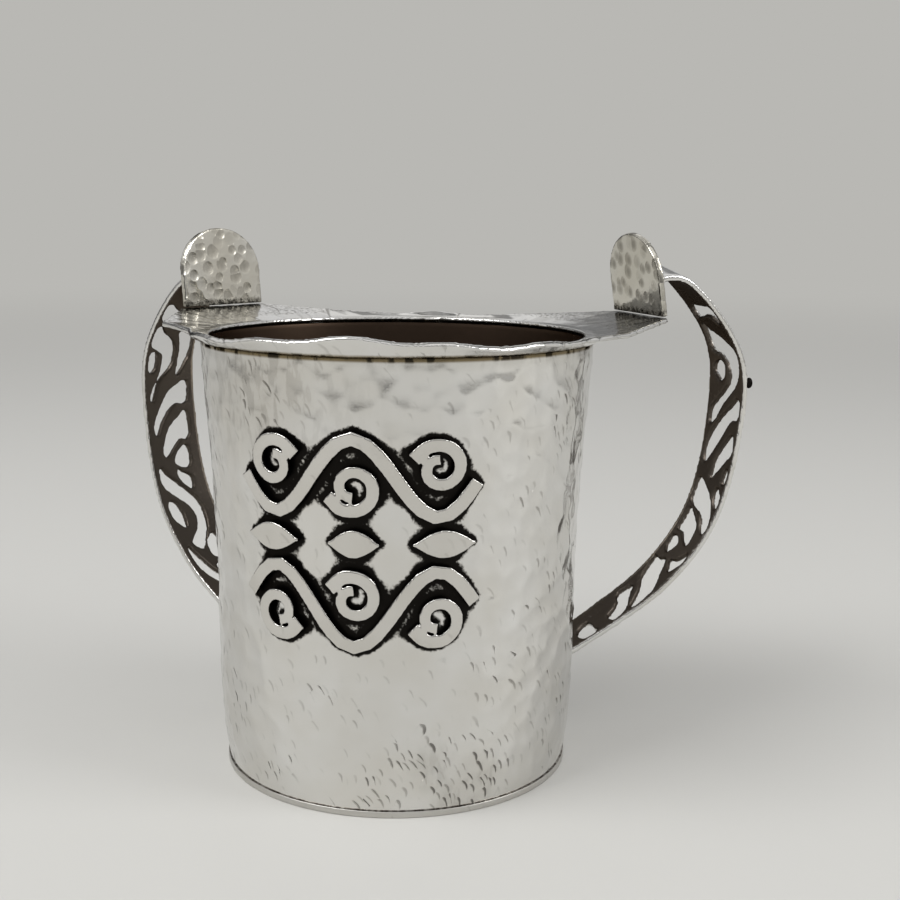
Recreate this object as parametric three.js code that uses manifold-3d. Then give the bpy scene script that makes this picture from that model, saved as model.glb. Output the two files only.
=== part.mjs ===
// A hand-washing cup of hammered silver sheet: a tapered round wall on a base disc, a flared rim whose two
// ears carry upright thumb tabs, two pierced strap handles, and a vine of flat strips applied to the front.
// Millimetres. Z is up, the origin is on the table under the cup's axis, and the front faces -Y.
import * as THREE from 'three';
import { mergeVertices } from 'three/addons/utils/BufferGeometryUtils.js';
import Module from 'manifold-3d';

const wasm = await Module();
wasm.setup();

// Clearances
const pieceGap = 0.3;
const cutOverrun = 1.5;
const outerOverrun = 4;
const cutSpread = 2;

// Base disc
const baseThickness = 1.1;
const baseLedge = 0.3;

// Wall of the cup
const wallThickness = 1;
const bodyHeight = 80;
const footRadius = 32.15;
const lowerRadius = 33.75;
const lowerHeight = 30;
const waistRadius = 34.2;
const waistHeight = 50;
const shoulderRadius = 35.25;
const shoulderHeight = 66;
const mouthRadius = 36.15;

// Rim, a sheet that lies on the wall's top edge and turns up
const rimThickness = 1;
const rimOpeningRadius = 34.6;
const rimSeatRadius = 36.6;
const rimRadius = 38.1;
const lipRise = 1.1;
const frontLiftRise = 1.6;
const frontLiftSpread = THREE.MathUtils.degToRad(24);
const lipWave = 0.3;
const lipWaves = 14;

// Ears of the rim, one under each thumb tab
const handleTurn = THREE.MathUtils.degToRad(30);
const earRise = 2.4;
const rightEarTipRadius = 42.6;
const leftEarTipRadius = 46.7;
const earTipRise = 0.7;
const earTipTurn = THREE.MathUtils.degToRad(28);
const earFrontTurn = THREE.MathUtils.degToRad(50);
const earBackTurn = THREE.MathUtils.degToRad(48);
const earBackDip = 2.2;

// Thumb tabs
const rightTabRadius = 49.7;
const leftTabRadius = 48.1;
const tabThickness = 1.2;
const tabWidth = 20.4;
const tabStraightHeight = 7;
const tabHeight = 15.6;
const rightTabLean = THREE.MathUtils.degToRad(-9);
const leftTabLean = THREE.MathUtils.degToRad(6);

// Handles, straps that bow out from the tabs and come in to the wall
const handleThickness = 1.2;
const rightHandleTopWidth = 16;
const leftHandleTopWidth = 13.2;
const rightHandleFootWidth = 7.5;
const leftHandleFootWidth = 13.6;
const rightHandleBow = 21.3;
const leftHandleBow = 19.6;
const rightHandleTopRise = 8;
const leftHandleTopRise = 5;
const handleStartInset = 3;
const handleFootHeight = 14.6;
const handleFootInset = 1.2;
const rightCantShare = 0.19;
const leftCantShare = -0.08;
const strapMargin = 0.6;
const beadRadius = 0.65;
const beadLength = 2.3;
const beadHeight = 70.7;

// The strap's side view: how far out of the wall, and how far up from the foot
const handlePathShares = [
  [0.655, 1.0],
  [0.985, 0.8],
  [0.997, 0.567],
  [0.883, 0.349],
  [0.641, 0.194],
  [0.34, 0.092],
];

// Cut-outs of the right strap: share of its length from the tab, share of its half width (+ anticlockwise)
const rightThinLeafShares = [
  [0.194, 0.67], [0.183, 0.04], [0.173, -0.56], [0.175, -0.96], [0.206, -0.91], [0.204, -0.36],
  [0.209, 0.11], [0.228, 0.8], [0.217, 0.96],
];
const rightLongSlotShares = [
  [0.241, 0.79], [0.246, 0.31], [0.25, -0.24], [0.263, -0.69], [0.279, -0.92], [0.304, -0.88],
  [0.333, -0.72], [0.359, -0.4], [0.384, 0.02], [0.404, 0.28], [0.421, 0.44], [0.431, 0.63],
  [0.433, 0.96], [0.417, 0.94], [0.4, 0.74], [0.379, 0.39], [0.358, 0.05], [0.338, -0.14],
  [0.321, -0.12], [0.304, 0.06], [0.296, 0.35], [0.296, 0.72], [0.279, 0.88],
];
const rightInsetDropShares = [
  [0.315, 0.55], [0.31, 0.24], [0.316, 0.08], [0.328, 0.06], [0.34, 0.14], [0.351, 0.44],
  [0.343, 0.65], [0.337, 0.82], [0.325, 0.76],
];
const rightUpperLeafShares = [
  [0.371, -0.95], [0.396, -0.96], [0.408, -0.62], [0.429, -0.32], [0.462, 0.07], [0.492, 0.45],
  [0.512, 0.77], [0.492, 0.96], [0.471, 0.88], [0.446, 0.6], [0.417, 0.19], [0.391, -0.31],
];
const rightMiddleLeafShares = [
  [0.434, -0.86], [0.462, -0.96], [0.483, -0.68], [0.5, -0.45], [0.517, -0.18], [0.529, 0.15],
  [0.508, 0.16], [0.487, 0.04], [0.458, -0.32],
];
const rightUpperDropShares = [
  [0.496, -0.86], [0.504, -0.96], [0.521, -0.94], [0.529, -0.82], [0.525, -0.68], [0.512, -0.66],
];
const rightLowerDropShares = [
  [0.537, -0.59], [0.546, -0.82], [0.558, -0.96], [0.571, -0.95], [0.575, -0.71], [0.562, -0.47],
  [0.55, -0.39],
];
const rightBladeShares = [
  [0.539, 0.74], [0.55, 0.13], [0.562, -0.32], [0.579, -0.61], [0.596, -0.82], [0.617, -0.96],
  [0.629, -0.9], [0.625, -0.53], [0.613, -0.32], [0.6, 0.02], [0.596, 0.43], [0.588, 0.89],
  [0.575, 0.96], [0.554, 0.94],
];
const rightInnerLeafShares = [
  [0.6, 0.77], [0.608, 0.27], [0.617, -0.08], [0.629, -0.33], [0.646, -0.42], [0.662, -0.45],
  [0.662, -0.07], [0.654, 0.27], [0.646, 0.52], [0.646, 0.86], [0.625, 0.83], [0.613, 0.83],
];
const rightLoopShares = [
  [0.661, 0.7], [0.664, 0.3], [0.672, 0.15], [0.682, 0.21], [0.697, 0.35], [0.693, 0.66],
  [0.679, 0.86], [0.668, 0.9],
];
const rightNotchShares = [
  [0.704, -0.07], [0.7, -0.39], [0.688, -0.62], [0.671, -0.81], [0.692, -0.96], [0.708, -0.83],
  [0.725, -0.64], [0.717, -0.28],
];
const rightBigAngleShares = [
  [0.717, 0.96], [0.717, 0.59], [0.708, 0.17], [0.733, -0.23], [0.758, -0.62], [0.775, -0.84],
  [0.796, -0.91], [0.808, -0.96], [0.825, -0.82], [0.808, -0.42], [0.787, -0.01], [0.771, 0.45],
  [0.758, 0.72],
];
const rightSmallAngleShares = [
  [0.789, 0.62], [0.806, 0.07], [0.819, -0.32], [0.831, -0.71], [0.856, -0.96], [0.864, -0.81],
  [0.864, -0.25], [0.848, -0.09], [0.831, 0.34], [0.819, 0.79],
];
const rightHalfMoonShares = [
  [0.933, -0.51], [0.925, 0.13], [0.908, 0.28], [0.9, 0.09], [0.9, -0.53], [0.904, -0.96],
  [0.921, -0.94], [0.929, -0.82],
];
const rightSlots = [
  rightThinLeafShares, rightLongSlotShares, rightInsetDropShares, rightUpperLeafShares,
  rightMiddleLeafShares, rightUpperDropShares, rightLowerDropShares, rightBladeShares,
  rightInnerLeafShares, rightLoopShares, rightNotchShares, rightBigAngleShares,
  rightSmallAngleShares, rightHalfMoonShares,
];

// Cut-outs of the left strap, in the same measures
const leftThinLeafShares = [
  [0.163, 0.9], [0.182, 0.43], [0.203, -0.07], [0.225, -0.59], [0.229, -0.05], [0.223, 0.39],
  [0.201, 0.91], [0.179, 0.96],
];
const leftLongSlotShares = [
  [0.225, 0.91], [0.248, 0.43], [0.279, -0.13], [0.3, -0.22], [0.321, -0.17], [0.338, 0.1],
  [0.358, 0.47], [0.4, 0.77], [0.388, 0.85], [0.371, 0.74], [0.35, 0.51], [0.329, 0.36],
  [0.304, 0.31], [0.292, 0.45], [0.28, 0.75], [0.271, 0.91], [0.254, 0.95],
];
const leftInsetDropShares = [
  [0.289, 0.79], [0.297, 0.57], [0.316, 0.55], [0.332, 0.67], [0.333, 0.86], [0.32, 0.92],
  [0.297, 0.92],
];
const leftSideSlotShares = [
  [0.25, -0.19], [0.261, -0.92], [0.296, -0.96], [0.325, -0.74], [0.342, -0.54], [0.35, -0.3],
  [0.321, -0.38], [0.3, -0.42], [0.275, -0.36],
];
const leftUpperLeafShares = [
  [0.364, -0.76], [0.379, -0.88], [0.408, -0.79], [0.408, -0.31], [0.421, 0.1], [0.446, 0.46],
  [0.471, 0.7], [0.45, 0.81], [0.429, 0.66], [0.408, 0.43], [0.383, 0.1], [0.371, -0.3],
];
const leftMiddleLeafShares = [
  [0.429, -0.72], [0.454, -0.77], [0.479, -0.75], [0.483, -0.33], [0.5, 0.04], [0.517, 0.43],
  [0.504, 0.54], [0.483, 0.42], [0.454, 0.13], [0.438, -0.3],
];
const leftUpperDropShares = [
  [0.5, -0.53], [0.521, -0.63], [0.537, -0.61], [0.546, -0.33], [0.538, -0.01], [0.529, 0.12],
  [0.517, 0.02], [0.504, -0.21],
];
const leftLowerDropShares = [
  [0.544, 0.03], [0.554, -0.14], [0.564, -0.43], [0.573, -0.51], [0.59, -0.49], [0.586, -0.22],
  [0.57, 0.01], [0.554, 0.1],
];
const leftBladeShares = [
  [0.537, 0.86], [0.554, 0.53], [0.579, 0.1], [0.604, -0.27], [0.637, -0.54], [0.667, -0.5],
  [0.696, -0.25], [0.73, 0.21], [0.721, 0.43], [0.708, 0.54], [0.683, 0.07], [0.654, -0.15],
  [0.629, -0.03], [0.608, 0.28], [0.588, 0.61], [0.562, 0.86],
];
const leftInnerLeafShares = [
  [0.608, 0.65], [0.617, 0.47], [0.642, 0.34], [0.671, 0.4], [0.658, 0.69], [0.642, 0.83],
  [0.617, 0.85],
];
const leftEggShares = [
  [0.7, -0.52], [0.721, -0.6], [0.75, -0.47], [0.758, -0.13], [0.746, 0.04], [0.725, 0.01],
  [0.708, -0.22],
];
const leftLowLeafShares = [
  [0.713, 0.83], [0.733, 0.64], [0.762, 0.47], [0.792, 0.28], [0.808, 0.09], [0.825, 0.39],
  [0.804, 0.62], [0.775, 0.81], [0.746, 0.87],
];
const leftSideBitShares = [
  [0.773, 0.13], [0.767, -0.32], [0.79, -0.04], [0.783, 0.18],
];
const leftSlots = [
  leftThinLeafShares, leftLongSlotShares, leftInsetDropShares, leftSideSlotShares,
  leftUpperLeafShares, leftMiddleLeafShares, leftUpperDropShares, leftLowerDropShares,
  leftBladeShares, leftInnerLeafShares, leftEggShares, leftLowLeafShares, leftSideBitShares,
];

// Applied vine on the front, two rows of a running scroll with leaves between them
const vineCentreShare = 0.6125;
const vineCentreHeight = vineCentreShare * bodyHeight;
const vineHalfWidth = 20.2;
const vineStripWidth = 2.4;
const vineThickness = 0.8;
const vineRowRise = 11.2;
const vineWave = 6.6;
const vineHalfPeriod = 13.8;
const scrollRadius = 4.4;
const scrollEyeRadius = 1.5;
const scrollShift = 1.7;
const scrollTurns = 1.2;
const scrollStartTurn = THREE.MathUtils.degToRad(-160);
const scrollEndShare = 0.75;
const leafWidth = 4.8;
const leafTipWidth = 0.5;
const middleLeafLength = 8.6;
const sideLeafLength = 10.6;

// Facets
const roundFacets = 64;
const profileSteps = 9;
const innerProfileSteps = 5;
const slotSteps = 2;
const strapSteps = 54;
const stripSteps = 24;
const turnPoints = 8;
const archSegments = 20;
const beadAround = 12;
const beadUp = 8;
const rimFrontSteps = 22;
const rimBackSteps = 6;
const earFrontSteps = 4;
const earBackSteps = 7;

const silver = { color: 0xb7b6b1, roughness: 0.3, metalness: 1 };
const darkSilver = { color: 0x5a554f, roughness: 0.5, metalness: 1 };

// The two sides. They differ a little, as on a cup made by hand.
const right = {
  name: 'right',
  azimuth: handleTurn,
  earTipRadius: rightEarTipRadius,
  tabRadius: rightTabRadius,
  tabLean: rightTabLean,
  bow: rightHandleBow,
  topRise: rightHandleTopRise,
  topWidth: rightHandleTopWidth,
  footWidth: rightHandleFootWidth,
  cant: rightCantShare,
  slots: rightSlots,
};
const left = {
  name: 'left',
  azimuth: Math.PI - handleTurn,
  earTipRadius: leftEarTipRadius,
  tabRadius: leftTabRadius,
  tabLean: leftTabLean,
  bow: leftHandleBow,
  topRise: leftHandleTopRise,
  topWidth: leftHandleTopWidth,
  footWidth: leftHandleFootWidth,
  cant: leftCantShare,
  slots: leftSlots,
};

const cup = new THREE.Group();

// Makes a mesh of a closed geometry and adds it to the cup.
function addPiece(name, geometry, finish) {
  geometry.computeVertexNormals();
  const mesh = new THREE.Mesh(geometry, new THREE.MeshStandardMaterial(finish));
  mesh.name = name;
  cup.add(mesh);
}

// A geometry from points and triangles, turned so that its faces point out.
function closedGeometry(points, triangles) {
  let volume = 0;
  const crossed = new THREE.Vector3();
  for (const [a, b, c] of triangles) {
    volume += points[a].dot(crossed.crossVectors(points[b], points[c]));
  }
  const facing = volume < 0 ? triangles.map(([a, b, c]) => [a, c, b]) : triangles;
  const geometry = new THREE.BufferGeometry();
  geometry.setAttribute('position', new THREE.Float32BufferAttribute(points.flatMap((p) => p.toArray()), 3));
  geometry.setIndex(facing.flat());
  return geometry;
}

// Joins rings with the same number of points into a solid. A closed one runs back into its first ring, and
// any other has a flat end on its first and last ring.
function loft(rings, closed) {
  const size = rings[0].length;
  const points = rings.flat();
  const triangles = [];
  const bands = closed ? rings.length : rings.length - 1;
  for (let i = 0; i < bands; i += 1) {
    const here = i * size;
    const next = ((i + 1) % rings.length) * size;
    for (let k = 0; k < size; k += 1) {
      const l = (k + 1) % size;
      triangles.push([here + k, next + k, next + l], [here + k, next + l, here + l]);
    }
  }
  if (!closed) {
    const last = (rings.length - 1) * size;
    for (let k = 1; k < size - 1; k += 1) {
      triangles.push([0, k, k + 1], [last, last + k + 1, last + k]);
    }
  }
  return closedGeometry(points, triangles);
}

// A solid between two sheets over one flat outline, place(x, y, depth) giving each point in space.
function prism(outline, place, depths) {
  const count = outline.length;
  const points = depths.flatMap((depth) => outline.map((p) => place(p.x, p.y, depth)));
  const caps = THREE.ShapeUtils.triangulateShape(outline, []);
  const triangles = caps.flatMap(([a, b, c]) => [[a, b, c], [count + a, count + c, count + b]]);
  const anticlockwise = THREE.ShapeUtils.area(outline) > 0;
  for (let k = 0; k < count; k += 1) {
    const l = (k + 1) % count;
    const sides = [[k, count + k, count + l], [k, count + l, l]];
    triangles.push(...(anticlockwise ? sides : sides.map(([a, b, c]) => [a, c, b])));
  }
  return closedGeometry(points, triangles);
}

// Closed geometry to solid, and back.
function solidOf(geometry) {
  const bare = geometry.clone();
  bare.deleteAttribute('normal');
  bare.deleteAttribute('uv');
  const merged = mergeVertices(bare);
  const vertProperties = new Float32Array(merged.attributes.position.array);
  const triVerts = new Uint32Array(merged.index.array);
  return new wasm.Manifold(new wasm.Mesh({ numProp: 3, vertProperties, triVerts }));
}
function geometryOf(solid) {
  const mesh = solid.getMesh();
  const geometry = new THREE.BufferGeometry();
  geometry.setAttribute('position', new THREE.BufferAttribute(new Float32Array(mesh.vertProperties), 3));
  geometry.setIndex(new THREE.BufferAttribute(new Uint32Array(mesh.triVerts), 1));
  return geometry;
}

// A solid of revolution from points of radius and height.
function turned(profile) {
  const points = profile.map(([radius, height]) => new THREE.Vector2(radius, height));
  const geometry = new THREE.LatheGeometry(points, roundFacets);
  geometry.rotateX(Math.PI / 2);
  return geometry;
}

// Outside of the wall, from foot to mouth
const wallCurve = new THREE.SplineCurve([
  new THREE.Vector2(footRadius, baseThickness),
  new THREE.Vector2(lowerRadius, lowerHeight),
  new THREE.Vector2(waistRadius, waistHeight),
  new THREE.Vector2(shoulderRadius, shoulderHeight),
  new THREE.Vector2(mouthRadius, bodyHeight),
]);
const wallProfile = wallCurve.getPoints(profileSteps).map((p) => [p.x, p.y]);

// Radius of the wall's outside at a height.
function wallRadius(height) {
  let i = 1;
  while (i < wallProfile.length - 1 && wallProfile[i][1] < height) {
    i += 1;
  }
  const [lowRadius, low] = wallProfile[i - 1];
  const [highRadius, high] = wallProfile[i];
  return THREE.MathUtils.mapLinear(Math.max(height, baseThickness), low, high, lowRadius, highRadius);
}

// A point given outwards, sideways (anticlockwise from above) and up, at an azimuth.
function polar(out, side, up, azimuth) {
  const c = Math.cos(azimuth);
  const s = Math.sin(azimuth);
  return new THREE.Vector3(out * c - side * s, out * s + side * c, up);
}

// Base disc
const baseRadius = footRadius + baseLedge;
const baseProfile = [[0, 0], [baseRadius, 0], [baseRadius, baseThickness], [0, baseThickness]];
addPiece('base_disc', turned(baseProfile), silver);

// Wall
const innerProfile = wallCurve.getPoints(innerProfileSteps).map((p) => [p.x - wallThickness, p.y]).reverse();
addPiece('cup_wall', turned([...wallProfile, ...innerProfile, wallProfile[0]]), silver);

// Rim: its outline over one half of the turn, from the front to the back, as azimuth, radius and rise
const tabHalfWidth = tabWidth / 2;

// How high the lip stands over its seat. It lifts towards the front and wavers a little all the way round.
function lipRiseAt(azimuth) {
  const fromFront = azimuth + Math.PI / 2;
  const lift = frontLiftRise * Math.exp(-((fromFront / frontLiftSpread) ** 2));
  return lipRise + lift + lipWave * Math.cos(lipWaves * fromFront);
}

// Azimuth, radius and rise at even steps of the way between two corners of the outline, the first left out.
function straightEdge(from, to, steps) {
  const edge = [];
  for (let i = 1; i <= steps; i += 1) {
    const p = from.clone().lerp(to, i / steps);
    edge.push([Math.atan2(p.y, p.x), Math.hypot(p.x, p.y), p.z]);
  }
  return edge;
}

function rimHalfOutline(side) {
  const half = [];
  const earReach = side.tabRadius + tabThickness;
  const cornerTurn = Math.atan2(tabHalfWidth, earReach);
  const frontEnd = handleTurn - earFrontTurn;
  const backEnd = handleTurn + earBackTurn;
  for (let i = 0; i <= rimFrontSteps; i += 1) {
    const azimuth = THREE.MathUtils.lerp(-Math.PI / 2, frontEnd, i / rimFrontSteps);
    half.push([azimuth, rimRadius, lipRiseAt(azimuth)]);
  }
  const front = polar(rimRadius, 0, lipRiseAt(frontEnd), frontEnd);
  const tip = polar(side.earTipRadius, 0, earTipRise, handleTurn - earTipTurn);
  const nearCorner = polar(earReach, -tabHalfWidth, earRise, handleTurn);
  const farCorner = polar(earReach, tabHalfWidth, earRise, handleTurn);
  half.push(...straightEdge(front, tip, earFrontSteps));
  half.push(...straightEdge(tip, nearCorner, earFrontSteps));
  half.push(...straightEdge(nearCorner, farCorner, earFrontSteps));
  const meeting = polar(rimRadius, 0, lipRiseAt(backEnd), backEnd);
  const dip = polar(rimRadius + earBackDip, 0, lipRise, (handleTurn + cornerTurn + backEnd) / 2);
  const hollow = new THREE.QuadraticBezierCurve3(farCorner, dip, meeting);
  for (const p of hollow.getPoints(earBackSteps).slice(1)) {
    half.push([Math.atan2(p.y, p.x), Math.hypot(p.x, p.y), p.z]);
  }
  for (let i = 1; i <= rimBackSteps; i += 1) {
    const azimuth = THREE.MathUtils.lerp(backEnd, Math.PI / 2, i / rimBackSteps);
    half.push([azimuth, rimRadius, lipRiseAt(azimuth)]);
  }
  return half;
}

// The rim's section at one azimuth, seat first, then the turned-up sheet, as a ring of points.
function rimSection(azimuth, radius, rise) {
  const middle = bodyHeight + rimThickness / 2;
  const spine = [
    new THREE.Vector2(rimOpeningRadius, middle),
    new THREE.Vector2(rimSeatRadius, middle),
    new THREE.Vector2(radius, middle + rise),
  ];
  const ways = [
    spine[1].clone().sub(spine[0]).normalize(),
    spine[2].clone().sub(spine[1]).normalize(),
  ];
  const normals = ways.map((way) => new THREE.Vector2(-way.y, way.x));
  const mitre = normals[0].clone().add(normals[1]).normalize();
  mitre.divideScalar(mitre.dot(normals[0]));
  const offsets = [normals[0], mitre, normals[1]];
  const top = spine.map((p, i) => p.clone().addScaledVector(offsets[i], rimThickness / 2));
  const under = spine.map((p, i) => p.clone().addScaledVector(offsets[i], -rimThickness / 2));
  return [...top, ...under.reverse()].map((p) => polar(p.x, 0, p.y, azimuth));
}

const rightHalf = rimHalfOutline(right);
const leftHalf = rimHalfOutline(left).slice(1, -1).reverse().map(
  ([azimuth, radius, rise]) => [Math.PI - azimuth, radius, rise],
);
const rimRings = [...rightHalf, ...leftHalf].map((corner) => rimSection(...corner));
addPiece('flared_rim', loft(rimRings, true), silver);

// Thumb tabs, upright plates on the ears' ends, each leaning a little in or out
const tabFoot = bodyHeight + rimThickness + earRise + pieceGap;
function tabOutline() {
  const shape = new THREE.Shape();
  shape.moveTo(-tabHalfWidth, 0);
  shape.lineTo(tabHalfWidth, 0);
  shape.lineTo(tabHalfWidth, tabStraightHeight);
  shape.absellipse(0, tabStraightHeight, tabHalfWidth, tabHeight - tabStraightHeight, 0, Math.PI, false);
  return shape;
}

// Lays a block drawn as side, up and out on a side's ear, tipped about its inner foot edge.
function standOnEar(geometry, side) {
  const up = new THREE.Matrix4().makeBasis(
    new THREE.Vector3(0, 1, 0),
    new THREE.Vector3(0, 0, 1),
    new THREE.Vector3(1, 0, 0),
  );
  geometry.applyMatrix4(up);
  geometry.rotateY(side.tabLean);
  geometry.translate(side.tabRadius, 0, tabFoot);
  geometry.rotateZ(side.azimuth);
  return geometry;
}

function addThumbTab(side) {
  const plate = new THREE.ExtrudeGeometry(tabOutline(), {
    depth: tabThickness,
    bevelEnabled: false,
    curveSegments: archSegments,
  });
  const solid = solidOf(standOnEar(plate, side));
  const cutReach = side.tabRadius + tabWidth;
  const foot = solidOf(turned([[0, 0], [cutReach, 0], [cutReach, tabFoot], [0, tabFoot]]));
  addPiece(`${side.name}_thumb_tab`, geometryOf(solid.subtract(foot)), silver);
}

// Handles
function strapCurve(side) {
  const start = new THREE.Vector2(side.tabRadius - handleStartInset, tabFoot + side.topRise);
  const end = new THREE.Vector2(wallRadius(handleFootHeight) - handleFootInset, handleFootHeight);
  const middle = handlePathShares.map(([out, up]) => new THREE.Vector2(
    THREE.MathUtils.lerp(end.x, side.tabRadius + side.bow, out),
    THREE.MathUtils.lerp(end.y, start.y, up),
  ));
  return new THREE.SplineCurve([start, ...middle, end]);
}

// A strap knows its side's sizes and the curve it follows.
function strapOf(side) {
  return { ...side, curve: strapCurve(side) };
}

// A point of the strap: share of its length, distance sideways, depth in from its outer face.
function strapPoint(strap, along, sideways, depth) {
  const share = THREE.MathUtils.clamp(along, 0, 1);
  const p = strap.curve.getPointAt(share);
  const way = strap.curve.getTangentAt(share);
  const out = p.x + way.y * depth;
  const up = p.y - way.x * depth + strap.cant * sideways;
  return polar(out, sideways, up, strap.azimuth);
}

function strapHalfWidth(strap, along) {
  return THREE.MathUtils.lerp(strap.topWidth, strap.footWidth, along) / 2;
}

function strapSolid(strap) {
  const rings = [];
  for (let i = 0; i <= strapSteps; i += 1) {
    const along = i / strapSteps;
    const half = strapHalfWidth(strap, along);
    const corners = [[-half, 0], [half, 0], [half, handleThickness], [-half, handleThickness]];
    rings.push(corners.map(([sideways, depth]) => strapPoint(strap, along, sideways, depth)));
  }
  return solidOf(loft(rings, false));
}

function slotCutter(strap, shares) {
  const corners = shares.map(([along, across]) => new THREE.Vector3(along, across, 0));
  const smooth = new THREE.CatmullRomCurve3(corners, true, 'centripetal');
  const loop = smooth.getPoints(shares.length * slotSteps).slice(0, -1);
  const outline = loop.map((p) => new THREE.Vector2(p.x, p.y));
  const place = (along, across, depth) => {
    const sideways = across * (strapHalfWidth(strap, along) - strapMargin);
    return strapPoint(strap, along, sideways, depth);
  };
  return solidOf(prism(outline, place, [-outerOverrun, handleThickness + cutOverrun]));
}

function addHandle(strap) {
  const reachBox = new THREE.BoxGeometry(cutSpread * tabWidth, cutSpread * tabHeight, strap.tabRadius);
  reachBox.translate(0, 0, tabThickness + pieceGap - strap.tabRadius / 2);
  const behindTab = solidOf(standOnEar(reachBox, strap));
  const clearWall = wallProfile.map(([radius, height]) => [radius + pieceGap, height]);
  const insideWall = solidOf(turned([[0, baseThickness], ...clearWall, [0, bodyHeight]]));
  let solid = strapSolid(strap).subtract(behindTab).subtract(insideWall);
  for (const shares of strap.slots) {
    solid = solid.subtract(slotCutter(strap, shares));
  }
  addPiece(`${strap.name}_handle`, geometryOf(solid), silver);
}

const rightStrap = strapOf(right);
addThumbTab(right);
addThumbTab(left);
addHandle(rightStrap);
addHandle(strapOf(left));

// Bead on the outer face of the right handle, near its front edge
function addBead() {
  let along = 0;
  while (rightStrap.curve.getPointAt(along).y > beadHeight && along < 1) {
    along += 1 / strapSteps;
  }
  const sideways = beadRadius - strapHalfWidth(rightStrap, along);
  const centre = strapPoint(rightStrap, along, sideways, -(beadRadius + pieceGap));
  const drop = new THREE.SphereGeometry(beadRadius, beadAround, beadUp);
  drop.scale(1, 1, beadLength / (2 * beadRadius));
  drop.translate(centre.x, centre.y, centre.z);
  addPiece('handle_bead', drop, darkSilver);
}
addBead();

// A point on the front of the wall: across, up from the vine's middle, and out from the wall.
function frontPoint(across, up, depth) {
  const height = vineCentreHeight + up;
  return polar(wallRadius(height) + depth, 0, height, across / waistRadius - Math.PI / 2);
}

// A flat strip bent to the wall along a line of points, with its width at each share of its length.
function stripSolid(line, widthAt) {
  const curve = new THREE.SplineCurve(line);
  const rings = [];
  for (let i = 0; i <= stripSteps; i += 1) {
    const along = i / stripSteps;
    const p = curve.getPointAt(along);
    const way = curve.getTangentAt(along);
    const half = widthAt(along) / 2;
    const corners = [[-half, 0], [half, 0], [half, vineThickness], [-half, vineThickness]];
    rings.push(corners.map(([side, depth]) => (
      frontPoint(p.x - way.y * side, p.y + way.x * side, pieceGap + depth)
    )));
  }
  return loft(rings, false);
}

// Middle line of a row's stem, a wave with its crest in the middle. Rows mirror each other up and down.
function stemLine(row) {
  const line = [];
  for (let i = 0; i <= stripSteps; i += 1) {
    const across = THREE.MathUtils.lerp(-vineHalfWidth, vineHalfWidth, i / stripSteps);
    const up = vineRowRise + vineWave * Math.cos((Math.PI * across) / vineHalfPeriod);
    line.push(new THREE.Vector2(across, row * up));
  }
  return line;
}

// Middle line of a scroll that winds in to its eye in one of the stem's hollows.
function scrollLine(row, hollow) {
  const inward = hollow === 0 ? 1 : -1;
  const hand = hollow === 0 ? 1 : hollow;
  const eye = new THREE.Vector2(hollow * vineHalfPeriod, row * (vineRowRise - inward * scrollShift));
  const steps = Math.round(scrollTurns * turnPoints);
  const line = [];
  for (let i = 0; i <= steps; i += 1) {
    const turn = scrollStartTurn + (i / steps) * scrollTurns * 2 * Math.PI;
    const reach = THREE.MathUtils.lerp(scrollRadius, scrollEyeRadius, i / steps);
    const up = row * inward * reach * Math.sin(turn);
    line.push(new THREE.Vector2(eye.x + hand * reach * Math.cos(turn), eye.y + up));
  }
  return line;
}

// Middle line of a leaf that lies level between the rows.
function leafLine(across, length) {
  return [-1, 0, 1].map((end) => new THREE.Vector2(across + (end * length) / 2, 0));
}

const stemWidth = () => vineStripWidth;
const scrollWidth = (along) => vineStripWidth * THREE.MathUtils.lerp(1, scrollEndShare, along);
const leafSwell = (along) => Math.max(leafWidth * Math.sin(Math.PI * along), leafTipWidth);

for (const [rowName, row] of [['upper', 1], ['lower', -1]]) {
  addPiece(`vine_${rowName}_stem`, stripSolid(stemLine(row), stemWidth), silver);
  for (const [place, hollow] of [['left', -1], ['middle', 0], ['right', 1]]) {
    addPiece(`vine_${rowName}_${place}_scroll`, stripSolid(scrollLine(row, hollow), scrollWidth), silver);
  }
}
addPiece('vine_middle_leaf', stripSolid(leafLine(0, middleLeafLength), leafSwell), silver);
const leafPlace = vineHalfWidth - sideLeafLength / 2;
addPiece('vine_left_leaf', stripSolid(leafLine(-leafPlace, sideLeafLength), leafSwell), silver);
addPiece('vine_right_leaf', stripSolid(leafLine(leafPlace, sideLeafLength), leafSwell), silver);

export default cup;
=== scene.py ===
"""Looks of a small hand-washing cup made by hand from hammered silver sheet.

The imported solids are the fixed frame. Each sub-assembly below builds its own finer meshes over them, with
hammer marks, softened edges and the dark patina that lies in the hollows of old silver. Blender's lengths are
metres, and a name that ends in _mm holds millimetres.
"""
import logging
import math
from collections.abc import Callable
from dataclasses import dataclass
from enum import Enum
from functools import partial

import bpy
import numpy as np
from mathutils import Matrix, Vector
from mathutils.bvhtree import BVHTree


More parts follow.
